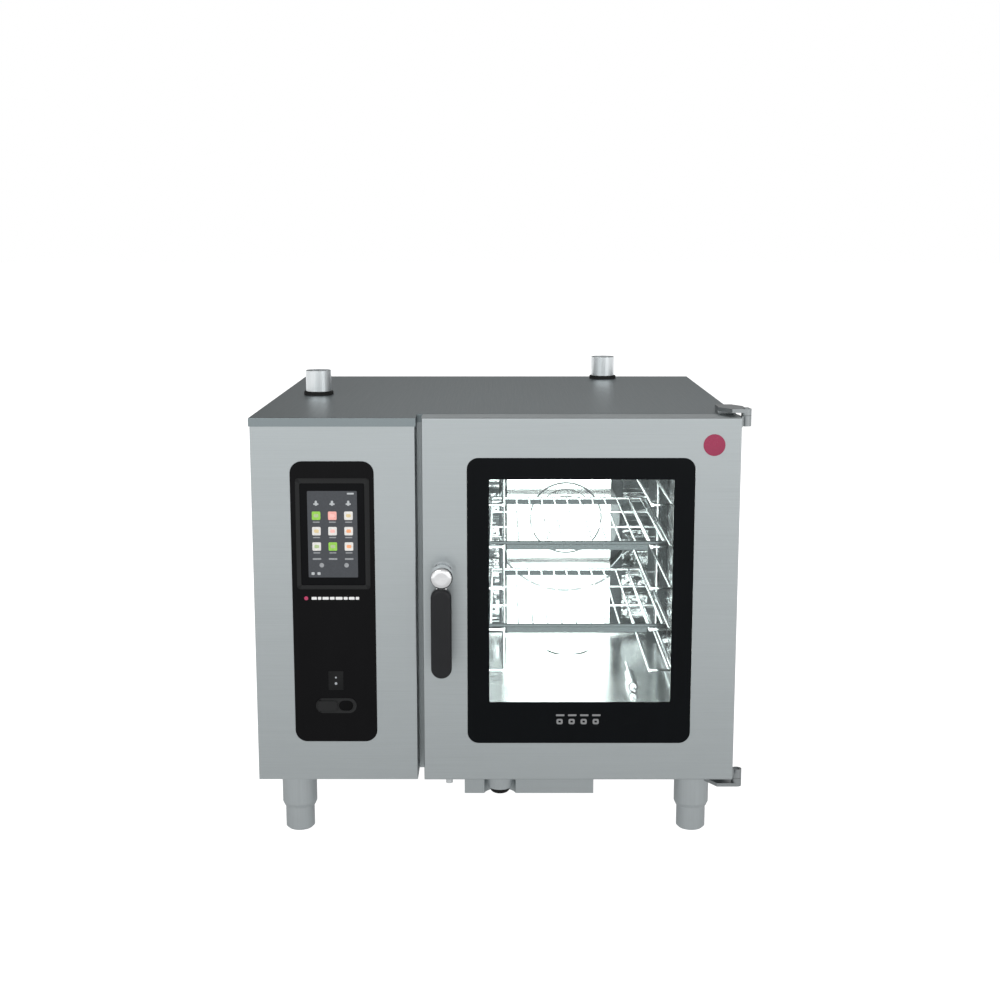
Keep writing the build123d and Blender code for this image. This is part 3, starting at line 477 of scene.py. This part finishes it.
SCREEN_Y = tidy_box("touch_screen")[0].y
DISPLAY_X = (-338.3 * MM, -251.4 * MM)
DISPLAY_Z = (504.0 * MM, 658.0 * MM)
wide = DISPLAY_X[1] - DISPLAY_X[0]
tall = DISPLAY_Z[1] - DISPLAY_Z[0]


def lit(name, u, v, width, height, radius, material, layer=1):
    """A lit shape on the display. u and v are shares of its width and height from the top left."""
    cx = DISPLAY_X[0] + u * wide
    cz = DISPLAY_Z[1] - v * tall
    front = SCREEN_Y - LAYER * layer
    return plate(
        name,
        (cx - width / 2, cx + width / 2),
        (front, SCREEN_Y + SUNK),
        (cz - height / 2, cz + height / 2),
        radius,
        material,
        "casing",
    )


backdrop = glowing("display_slate", (0.026, 0.029, 0.034), 0.9)
label_grey = glowing("display_label", (0.22, 0.23, 0.24), 0.5)
icon_grey = glowing("display_icon", (0.34, 0.36, 0.37), 0.5)
display_colours = {
    "green": (0.2, 0.42, 0.05),
    "leaf": (0.3, 0.38, 0.2),
    "pink": (0.62, 0.3, 0.27),
    "rose": (0.66, 0.36, 0.33),
    "tan": (0.5, 0.4, 0.22),
    "orange": (0.62, 0.28, 0.14),
    "white": (0.52, 0.51, 0.49),
}
tones = {key: glowing("display_" + key, value, 0.6) for key, value in display_colours.items()}
LAYOUT = (
    (("green", "leaf"), ("pink", "rose"), ("white", "tan")),
    (("white", "tan"), ("white", "rose"), ("white", "orange")),
    (("white", "leaf"), ("green", "leaf"), ("white", "orange")),
)
COLUMNS = (0.175, 0.5, 0.825)
ROWS = (0.284, 0.462, 0.64)
TILE = 15 * MM
lit("display_ground", 0.5, 0.5, wide, tall, 2 * MM, backdrop)
for row, v in enumerate(ROWS):
    for column, u in enumerate(COLUMNS):
        ground, glyph = LAYOUT[row][column]
        lit(f"tile_{row}_{column}", u, v, TILE, TILE, 2 * MM, tones[ground], 2)
        lit(f"glyph_{row}_{column}", u, v, 0.55 * TILE, 0.4 * TILE, 2 * MM, tones[glyph], 3)
        lit(f"tile_text_{row}_{column}", u, v + 0.074, 0.8 * TILE, 2 * MM, 0.8 * MM, label_grey, 2)
for column, u in enumerate(COLUMNS):
    lit(f"tab_{column}", u, 0.15, 9 * MM, 3 * MM, 1.2 * MM, icon_grey, 2)
    lit(f"tab_stem_{column}", u, 0.14, 4 * MM, 9 * MM, 1.8 * MM, icon_grey, 3)
    lit(f"next_row_{column}", u, 0.785, TILE, 3 * MM, 1 * MM, label_grey, 2)
for column, u in enumerate((0.27, 0.77)):
    lit(f"page_dot_{column}", u, 0.858, 8 * MM, 8 * MM, 3.9 * MM, label_grey, 2)
    lit(f"foot_mark_{column}", 0.09 + 0.12 * column, 0.955, 5.5 * MM, 5 * MM, 1.5 * MM, icon_grey, 2)
lit("clock_mark", 0.87, 0.03, 12 * MM, 3 * MM, 1 * MM, icon_grey, 2)

# ------------------------------------------------------------------ printed marks

glass_front = tidy_box("control_glass")[0].y
print_white = moulded("print_white", (0.5, 0.5, 0.5), 0.4, 300.0, 0.05)
print_grey = moulded("print_grey", (0.13, 0.132, 0.135), 0.4, 300.0, 0.05)


def print_mark(name, x, z, front, material, body, radius=0.9 * MM):
    """Thin printed or raised shape on a front face."""
    return plate(name, x, (front - LAYER, front + SUNK), z, radius, material, body)


BAR_WIDTHS = (9, 6, 11, 8, 12, 7, 10, 6)
BAR_GAP = 2.1
bar_x = -334.0
for bar, width in enumerate(BAR_WIDTHS):
    print_mark(
        f"panel_mark_{bar}",
        (bar_x * MM, (bar_x + width) * MM),
        (463.8 * MM, 468.8 * MM),
        glass_front,
        print_white,
        "casing",
    )
    bar_x += width + BAR_GAP
print_mark(
    "panel_mark_dot",
    (-347 * MM, -340 * MM),
    (462.8 * MM, 469.8 * MM),
    glass_front,
    crimson,
    "casing",
    3.4 * MM,
)
DOOR_MARKS = 4
for mark in range(DOOR_MARKS):
    start = 98 + 21.5 * mark
    print_mark(
        f"door_bar_{mark}",
        (start * MM, (start + 15) * MM),
        (250.5 * MM, 254 * MM),
        pane_low.y,
        print_grey,
        "door",
    )
    framed(
        f"door_mark_{mark}",
        (((start + 1) * MM, (start + 12) * MM), (235.5 * MM, 245.5 * MM), 3 * MM),
        (((start + 4.2) * MM, (start + 8.8) * MM), (238.7 * MM, 242.3 * MM), 1.2 * MM),
        (pane_low.y - LAYER, pane_low.y + SUNK),
        print_grey,
        "door",
    )

status_low, status_high = tidy_box("status_window")
led_white = glowing("led_white", (0.3, 0.32, 0.34), 0.4)
for row in range(2):
    cz = status_high.z - (12 + 11 * row) * MM
    led_r = (1.6 + 0.7 * row) * MM
    cx = (status_low.x + status_high.x) / 2
    plate(
        f"status_led_{row}",
        (cx - led_r, cx + led_r),
        (status_low.y - 0.15 * MM, status_low.y + 0.1 * MM),
        (cz - led_r, cz + led_r),
        0.95 * led_r,
        led_white,
        "casing",
    )

# ------------------------------------------------------------------ stage, light and camera


FLOOR_HALF = 60
FLOOR_GLOW = 0.97


def studio_floor():
    """Plain pale floor, nearly white to the camera and dimmer near the oven to every other ray."""
    mesh = bmesh.new()
    bmesh.ops.create_grid(mesh, x_segments=1, y_segments=1, size=FLOOR_HALF)
    data = bpy.data.meshes.new("floor")
    mesh.to_mesh(data)
    mesh.free()
    floor = bpy.data.objects.new("floor", data)
    bpy.context.scene.collection.objects.link(floor)
    mat, tree, shader = new_material("floor_white")
    shader.inputs["Base Color"].default_value = (0.5, 0.5, 0.5, 1)
    shader.inputs["Roughness"].default_value = 0.9
    shader.inputs["Specular IOR Level"].default_value = 0.0
    shader.inputs["Emission Color"].default_value = (1, 1, 1, 1)
    place = tree.nodes.new("ShaderNodeTexCoord")
    away = tree.nodes.new("ShaderNodeVectorMath")
    away.operation = "LENGTH"
    tree.links.new(place.outputs["Object"], away.inputs[0])
    distance = tree.nodes.new("ShaderNodeMapRange")
    for port, value in (("From Min", 0.5), ("From Max", 7.0), ("To Min", 0.3), ("To Max", 0.95)):
        distance.inputs[port].default_value = value
    tree.links.new(away.outputs["Value"], distance.inputs["Value"])
    seen = tree.nodes.new("ShaderNodeLightPath")
    choose = tree.nodes.new("ShaderNodeMix")
    tree.links.new(seen.outputs["Is Camera Ray"], choose.inputs["Factor"])
    tree.links.new(distance.outputs["Result"], choose.inputs["A"])
    choose.inputs["B"].default_value = FLOOR_GLOW
    tree.links.new(choose.outputs[0], shader.inputs["Emission Strength"])
    data.materials.append(mat)


def studio_world():
    """White backdrop; other rays see it brighter in front than behind or overhead."""
    world = bpy.data.worlds.new("studio")
    bpy.context.scene.world = world
    world.use_nodes = True
    tree = world.node_tree
    background = tree.nodes["Background"]
    place = tree.nodes.new("ShaderNodeTexCoord")
    split = tree.nodes.new("ShaderNodeSeparateXYZ")
    tree.links.new(place.outputs["Generated"], split.inputs[0])
    shares = []
    for axis, ends in (("Y", (-0.6, 0.5, 1.25, 0.26)), ("Z", (0.25, 0.9, 1.0, 0.45))):
        share = tree.nodes.new("ShaderNodeMapRange")
        for port, value in zip(("From Min", "From Max", "To Min", "To Max"), ends):
            share.inputs[port].default_value = value
        tree.links.new(split.outputs[axis], share.inputs["Value"])
        shares.append(share.outputs["Result"])
    product = tree.nodes.new("ShaderNodeMath")
    product.operation = "MULTIPLY"
    tree.links.new(shares[0], product.inputs[0])
    tree.links.new(shares[1], product.inputs[1])
    rays = tree.nodes.new("ShaderNodeLightPath")
    choose = tree.nodes.new("ShaderNodeMix")
    tree.links.new(rays.outputs["Is Camera Ray"], choose.inputs["Factor"])
    tree.links.new(product.outputs[0], choose.inputs["A"])
    choose.inputs["B"].default_value = 1.0
    tree.links.new(choose.outputs[0], background.inputs["Strength"])
    background.inputs["Color"].default_value = (1, 1, 1, 1)


def area_light(name, at, target, size, power, colour):
    """Soft rectangular lamp aimed at a point."""
    data = bpy.data.lights.new(name, "AREA")
    data.shape = "RECTANGLE"
    data.size, data.size_y = size
    data.energy = power
    data.color = colour
    lamp_obj = bpy.data.objects.new(name, data)
    bpy.context.scene.collection.objects.link(lamp_obj)
    lamp_obj.location = at
    aim = Vector(target) - Vector(at)
    lamp_obj.rotation_euler = aim.to_track_quat("-Z", "Y").to_euler()


studio_floor()
studio_world()
WHITE = (1, 1, 1)
WARM = (1, 0.995, 0.98)
LAMPS = (
    ("key", (-1.8, -3.2, 3.0), (0, 0, 0.45), (2.4, 1.8), 28, WHITE),
    ("fill", (2.6, -2.4, 1.8), (0, 0, 0.45), (2.0, 2.0), 12, WHITE),
    ("rear", (0.6, 3.2, 3.2), (0, 0, 0.6), (3.0, 1.6), 14, WHITE),
    ("cavity_wash", (0.12, -0.285, 0.43), (0.12, 0.3, 0.43), (0.34, 0.42), 2.4, WARM),
)
for lamp_name, spot, target, size, power, colour in LAMPS:
    area_light(lamp_name, spot, target, size, power, colour)

CAMERA_AT = (-0.002, -2.962, 1.0942)
CAMERA_PITCH = 9.872
camera_data = bpy.data.cameras.new("camera")
camera_data.lens = 54.47
camera_data.sensor_width = 36.0
camera = bpy.data.objects.new("camera", camera_data)
camera.location = CAMERA_AT
camera.rotation_euler = (math.radians(90 - CAMERA_PITCH), 0, 0)
bpy.context.scene.collection.objects.link(camera)
bpy.context.scene.camera = camera
bpy.context.scene.view_settings.view_transform = "Standard"
